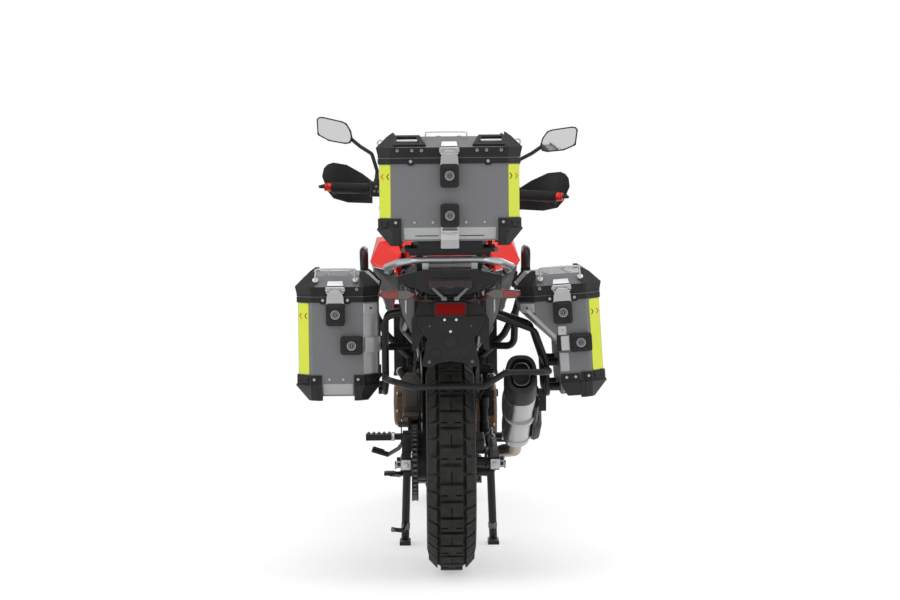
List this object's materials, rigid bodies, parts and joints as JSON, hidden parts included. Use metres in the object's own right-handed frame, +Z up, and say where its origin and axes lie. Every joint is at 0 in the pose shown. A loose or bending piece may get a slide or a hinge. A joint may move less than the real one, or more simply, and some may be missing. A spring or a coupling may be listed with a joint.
{
  "type": "adventure motorcycle",
  "caption": "Adventure motorcycle on its centre stand, with a top case, two side cases, wire wheels with block tyres, a tall screen and hand guards.",
  "frame": {"origin": "on the ground under the middle of the whole machine's bounding box", "axes": "+Y forwards, +X to the rider's right, +Z up; the front end rests turned 6.5 degrees to the right"},
  "size_m": [0.928, 2.3041, 1.4084],
  "materials": {
    "frame_black": "satin black powder coat",
    "engine_grey": "cast, painted dark grey",
    "cover_bronze": "bronze paint",
    "radiator_black": "black",
    "pipe_steel": "brushed",
    "silencer_steel": "brushed with black end",
    "swingarm_grey": "bead blasted",
    "spring_black": "gloss",
    "chain_steel": "oiled",
    "plastic_black": "grained",
    "tank_red": "gloss",
    "seat_black": "grained vinyl",
    "panel_red": "gloss",
    "lamp_clear": "clear",
    "lamp_red": "translucent red",
    "lamp_amber": "translucent amber",
    "dash_black": "gloss",
    "guard_aluminium": "brushed",
    "rail_silver": "cast",
    "case_grey": "dark anodised",
    "rim_black": "black anodised",
    "hub_black": "black",
    "tyre_black": "block tread",
    "fork_black": "black anodised"
  },
  "bodies": {
    "chassis": {"frame": "frame_black", "engine": "engine_grey", "engine_covers": "cover_bronze", "radiator": "radiator_black", "exhaust_pipe": "pipe_steel", "silencer": "silencer_steel", "swingarm": "swingarm_grey", "shock": "spring_black", "chain": "chain_steel", "rear_hugger": "plastic_black", "fuel_tank": "tank_red", "seat": "seat_black", "side_fairings": "panel_red", "nose": "plastic_black", "headlights": "lamp_clear", "windscreen": "lamp_clear", "dash": "dash_black", "bash_plate": "guard_aluminium", "crash_bars": "frame_black", "footrests": "frame_black", "tail_cowl": "plastic_black", "tail_lamp": "lamp_red", "plate_holder": "plastic_black", "rear_reflector": "lamp_red", "rear_indicators": "lamp_amber", "grab_rail": "rail_silver", "top_rack": "frame_black", "pannier_racks": "frame_black", "top_case_box": "case_grey", "top_case_fittings": "plastic_black", "left_case_box": "case_grey", "left_case_fittings": "plastic_black", "right_case_box": "case_grey", "right_case_fittings": "plastic_black"},
    "front_end": {"fork": "fork_black", "handlebar": "frame_black", "handguards": "plastic_black", "mirrors": "plastic_black", "front_fender": "plastic_black", "front_calipers": "frame_black"},
    "front_wheel": {"front_tyre": "tyre_black", "front_rim": "rim_black", "front_hub": "hub_black"},
    "rear_wheel": {"rear_tyre": "tyre_black", "rear_rim": "rim_black", "rear_hub": "hub_black"},
    "centre_stand": {"centre_stand": "frame_black"},
    "side_stand": {"side_stand": "frame_black"},
    "top_case_lid": {"top_case_lid": "case_grey", "top_case_lid_guards": "plastic_black"},
    "left_case_lid": {"left_case_lid": "case_grey", "left_case_lid_guards": "plastic_black"},
    "right_case_lid": {"right_case_lid": "case_grey", "right_case_lid_guards": "plastic_black"}
  },
  "joints": [
    {"name": "steering", "type": "hinge", "parent": "chassis", "child": "front_end", "pos_m": [0, 0.47685, 0.925], "axis": [0, -0.4384, 0.8988], "range_deg": [-29.5, 42.5]},
    {"name": "front_wheel_spin", "type": "hinge", "parent": "front_end", "child": "front_wheel", "pos_m": [0.00564, 0.82271, 0.32886], "axis": [0.9936, -0.1017, -0.0496], "continuous": true},
    {"name": "rear_wheel_spin", "type": "hinge", "parent": "chassis", "child": "rear_wheel", "pos_m": [0, -0.692, 0.332], "axis": [1, 0, 0], "continuous": true},
    {"name": "centre_stand_fold", "type": "hinge", "parent": "chassis", "child": "centre_stand", "pos_m": [0, -0.239, 0.242], "axis": [-1, 0, 0], "range_deg": [0, 93]},
    {"name": "side_stand_fold", "type": "hinge", "parent": "chassis", "child": "side_stand", "pos_m": [-0.142, -0.051, 0.222], "axis": [0.9783, 0.2071, 0], "range_deg": [0, 98]},
    {"name": "top_case_lid_hinge", "type": "hinge", "parent": "chassis", "child": "top_case_lid", "pos_m": [0, -0.728, 1.256], "axis": [-1, 0, 0], "range_deg": [0, 95]},
    {"name": "left_case_lid_hinge", "type": "hinge", "parent": "chassis", "child": "left_case_lid", "pos_m": [-0.333, -0.448, 0.849], "axis": [-1, 0, 0], "range_deg": [0, 95]},
    {"name": "right_case_lid_hinge", "type": "hinge", "parent": "chassis", "child": "right_case_lid", "pos_m": [0.327, -0.448, 0.849], "axis": [-0.9983, 0, -0.0576], "range_deg": [0, 95]}
  ]
}
